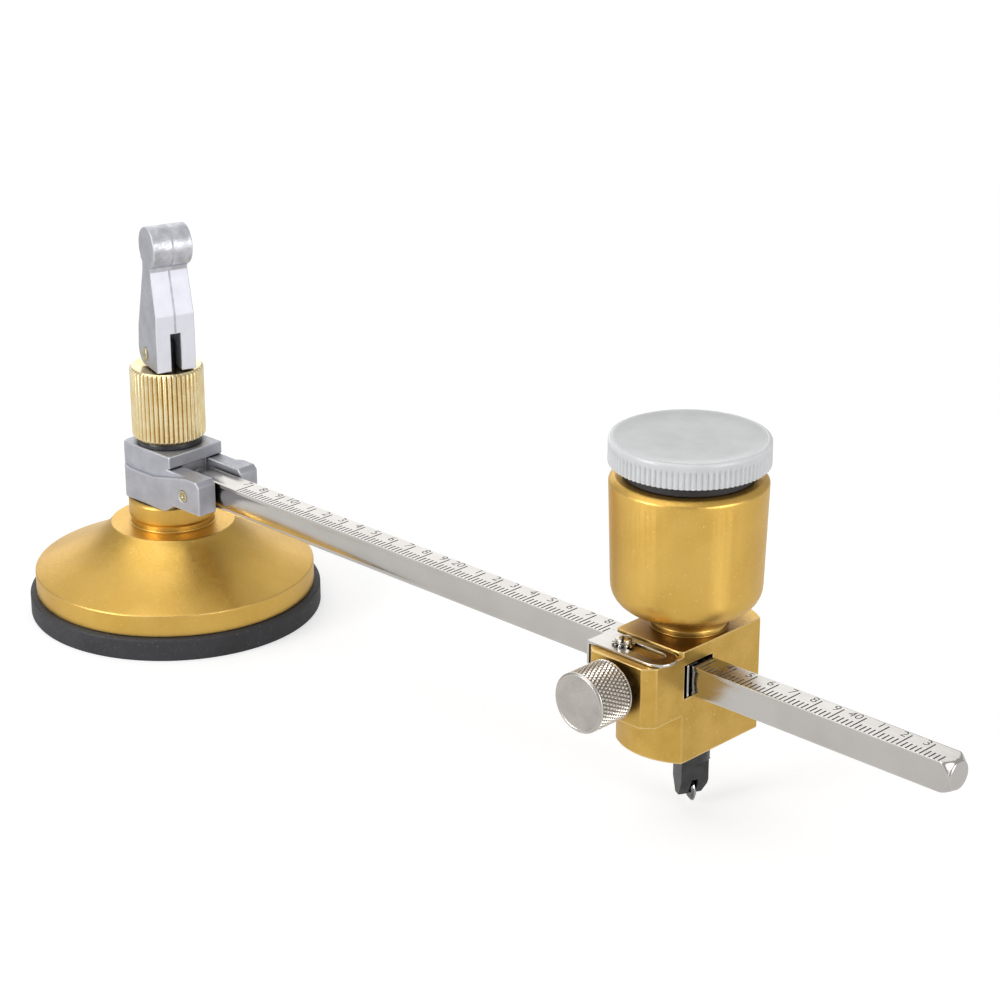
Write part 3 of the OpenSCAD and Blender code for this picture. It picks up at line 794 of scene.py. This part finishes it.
def make_cap():
    """White cap with ribs on the lower part of its side, a soft top edge and a dished top painted a darker shade.
    """
    low, high = box_mm("reservoir_cap")
    centre = centre_mm("reservoir_cap")
    outer = (high.x - low.x) / 2
    bottom = box_mm("cap_seal")[1].z + 2 * FREE_PLAY
    plug = 11.6
    skirt = 0.9
    rim = 0.9
    dish = 0.5
    ribs = 88
    steps = 10
    depth = 0.34
    hollowness = 1.6
    ribbed_from = outer - 1
    under = 0.01
    fade_low = high.z - 2.1
    fade_high = high.z - 1.3
    wall_rings = 3
    fade_rings = 4

    def rib(angle, radius, height):
        if radius < ribbed_from or height < bottom - under:
            return radius
        across = (angle * ribs / math.tau) % 1
        groove = abs(2 * across - 1) ** hollowness
        share = min(1, max(0, (fade_high - height) / (fade_high - fade_low)))
        return radius - depth * groove * share

    inside = [(0, low.z, 0), (plug, low.z, 0.5), (plug, bottom, 0)]
    foot = [(outer - skirt, bottom, 0), (outer, bottom, 0.15)]
    wall = [(outer, bottom + (fade_low - bottom) * i / wall_rings, 0) for i in range(1, wall_rings + 1)]
    fade = [(outer, fade_low + (fade_high - fade_low) * i / fade_rings, 0) for i in range(1, fade_rings + 1)]
    top = [(outer, high.z, 0.7), (outer - rim, high.z, 0.4), (outer - 3 * rim, high.z - 0.6 * dish, 1.5),
           (0, high.z - dish, 0)]
    profile = rounded([*inside, *foot, *wall, *fade, *top])
    mesh = lathe("white_cap", profile, (centre.x, centre.y, 0), segments=ribs * steps, radius_at=rib)
    piece("white_cap", mesh, "cap", "white_plastic", "reservoir_cap")
    # The top's faces take the darker plastic: painted shade on the cap's top
    mesh.materials.append(finishes["shaded_plastic"])
    for face in mesh.polygons:
        away = Vector(face.center) / MM - Vector((centre.x, centre.y, high.z))
        on_top = away.xy.length < outer - rim and away.z > -2 * dish
        face.material_index = int(on_top)


def make_thumb_screw():
    """Plated thumb screw with a diamond-knurled knob and a slightly sunk flat face."""
    low, high = box_mm("thumb_screw")
    centre = centre_mm("thumb_screw")
    outer = (high.x - low.x) / 2
    face = -low.y
    tip = -high.y
    back = 16.2
    boss = 15.4
    neck = 3
    shank = 2
    back_edge = 0.5
    face_edge = 0.35
    lip = 0.7
    sunk = 0.1
    flat = outer - 1
    teeth = 46
    helix = math.radians(27)
    steps = 12
    depth = 0.34
    flank = 1.5
    knurled_from = outer - 0.3
    knurl_low = back + 0.7
    knurl_high = face - 0.6
    rings = 96
    lead = math.tau * outer / teeth / math.tan(helix)

    def knurl(angle, radius, height):
        if radius < knurled_from or height < knurl_low or height > knurl_high:
            return radius
        around = angle * teeth / math.tau
        along = height / lead
        rise = [abs(2 * ((around + side * along) % 1) - 1) for side in (-1, 1)]
        return radius - depth * (1 - min(1, flank * min(rise)))

    stem = [(0, tip, 0), (shank, tip, 0.3), (shank, boss, 0), (neck, boss, 0.2), (neck, back, 0)]
    behind = [(outer - back_edge, back, 0.2), (outer, back + back_edge, 0)]
    side = [(outer, knurl_low + (knurl_high - knurl_low) * i / rings, 0) for i in range(rings + 1)]
    rim = [(outer, face - face_edge, 0.1), (outer - face_edge, face, 0.1), (outer - lip, face, 0.1)]
    front = [(outer - lip - sunk, face - sunk, 0.05), (flat, face - sunk, 0), (0, face - sunk, 0)]
    profile = rounded([*stem, *behind, *side, *rim, *front])
    place = (centre.x, 0, centre.z)
    mesh = lathe("plated_thumb_screw", profile, place, (0, -1, 0), teeth * steps, knurl)
    mesh.materials.append(finishes["worn_nickel"])
    piece("plated_thumb_screw", mesh, "clamp_screw", "nickel", "thumb_screw")


def make_pointer_slot(start):
    """Cutter for the pointer's long slot, which begins at the screw, in millimetres."""
    half = 1.6
    shift = 0.35
    run = 7.8
    deep = 4
    steps = 24
    outline = []
    for end, turn in ((run, -math.pi / 2), (0, math.pi / 2)):
        for i in range(steps + 1):
            angle = turn + i / steps * math.pi
            outline.append((end + half * math.cos(angle), shift + half * math.sin(angle)))
    return prism("pointer_slot", outline, deep, Matrix.Translation(start), "nickel")


def make_pointer():
    """Clamping leaf, and the pointer plate with its slot."""
    dressed("spring_leaf", "clamp_leaf", "leaf", "nickel", width=0.1, segments=2)
    plate = blank_of(clean_copy("pointer_plate"), "nickel")
    mesh = cut(plate, make_pointer_slot(centre_mm("pointer_washer")))
    pointer = piece("plated_pointer", mesh, "pointer", "nickel", "pointer_plate")
    round_edges(pointer, width=0.16)


def make_pointer_washer():
    """Toothed washer under the pointer's screw."""
    low, high = box_mm("pointer_washer")
    centre = centre_mm("pointer_washer")
    outer = (high.x - low.x) / 2
    bottom = low.z + FREE_PLAY
    hole = 1.05
    teeth = 12
    steps = 12
    depth = 0.55
    toothed_from = outer - 0.1
    gap_level = 0.1

    def star(angle, radius, height):
        if radius < toothed_from:
            return radius
        return radius - depth * (math.sin(angle * teeth) > gap_level)

    ring = [Vector((hole, bottom)), Vector((outer, bottom)), Vector((outer, high.z)), Vector((hole, high.z))]
    mesh = lathe("toothed_washer", ring, (centre.x, centre.y, 0), segments=teeth * steps, radius_at=star)
    piece("toothed_washer", mesh, "pointer_bolt", "nickel", "pointer_washer")


def make_pointer_screw():
    """Small screw with a slotted pan head."""
    low = box_mm("pointer_screw")[0]
    centre = centre_mm("pointer_washer")
    seat = box_mm("pointer_washer")[1].z
    top = seat + 1
    head = 1.6
    shank = 1
    segments = 64
    slot_half = 0.25
    slot_reach = 3
    slot_deep = 0.55
    slot_high = 2
    slot_turn = math.radians(35)
    pan = rounded([
        (0, low.z, 0), (shank, low.z, 0.2), (shank, seat, 0), (head, seat, 0.1), (head, top - 0.2, 0.15),
        (0.6 * head, top, 0.3), (0, top, 0),
    ])
    blank = blank_of(lathe("pan_head_screw", pan, (centre.x, centre.y, 0), segments=segments), "nickel")
    shape = bmesh.new()
    add_block(shape, (-slot_half, -slot_reach, -slot_deep), (slot_half, slot_reach, slot_high))
    slot = mesh_from(shape, "screw_slot")
    slot.transform(Matrix.Translation((centre.x, centre.y, top)) @ Matrix.Rotation(slot_turn, 4, "Z"))
    # The slot's walls take the near-black dark_steel finish: painted shade inside the slot
    slot.materials.append(finishes["dark_steel"])
    piece("pan_head_screw", cut(blank, slot), "pointer_bolt", "nickel", "pointer_screw")


def make_holder_cutter(hub, axle):
    """Cutter that tapers both broad faces of the wheel holder towards its lower end, in millimetres."""
    crease = 5.6
    foot = 2.4
    under = -1
    half_top = 2.16
    half_foot = 0.8
    far = 6
    deep = 6
    outline = [(-far, under), (far, under), (far, crease), (half_top, crease), (half_foot, foot),
               (-half_foot, foot), (-half_top, crease), (-far, crease)]
    across = axle.cross(Vector((0, 0, 1)))
    turn = Matrix((across, (0, 0, 1), -axle)).transposed().to_4x4()
    place = Matrix.Translation((hub.x, hub.y, 0)) @ turn
    return prism("holder_cutter", outline, deep, place, "black_plastic")


def make_wheel():
    """Black wheel holder and the small hard wheel."""
    axle = joint_axis("wheel_spin")
    hub = centre_mm("cutter_wheel")
    blank = blank_of(clean_copy("cutter_holder"), "black_plastic", -FREE_PLAY)
    mesh = cut(blank, make_holder_cutter(hub, axle))
    round_edges(piece("black_holder", mesh, "holder", "black_plastic", "cutter_holder"), width=0.15)
    low, high = box_mm("cutter_wheel")
    outer = (high.z - low.z) / 2
    half = length_along("cutter_wheel", axle) / 2
    hole = 0.55
    bevel = outer - 0.75
    segments = 96
    profile = rounded([
        (hole, -half, 0), (bevel, -half, 0.1), (outer, 0, 0.06), (bevel, half, 0.1), (hole, half, 0),
    ])
    mesh = lathe("hard_wheel", profile, hub, axle, segments)
    mesh.materials.append(finishes["hard_steel"])
    piece("hard_wheel", mesh, "wheel", "nickel", "cutter_wheel")


def dress_hidden_nodes():
    """Finishes for the CAD nodes that are shown as they are."""
    slots = {part["node"]: part["material_slot"] for part in frame["record"]["subparts"]}
    for name, made in frame["nodes"].items():
        if not made.hide_render:
            made.data.materials.clear()
            made.data.materials.append(finishes[slots[name]])


bpy.context.scene.view_settings.view_transform = "Standard"
make_camera()
make_lights()
make_world()
make_floor()
finishes = {name: finish(name, **values) for name, values in FINISHES.items()}
make_base()
make_sleeve()
make_lever()
make_swivel()
make_rod()
make_head()
make_cap()
make_thumb_screw()
make_pointer()
make_pointer_washer()
make_pointer_screw()
make_wheel()
dress_hidden_nodes()
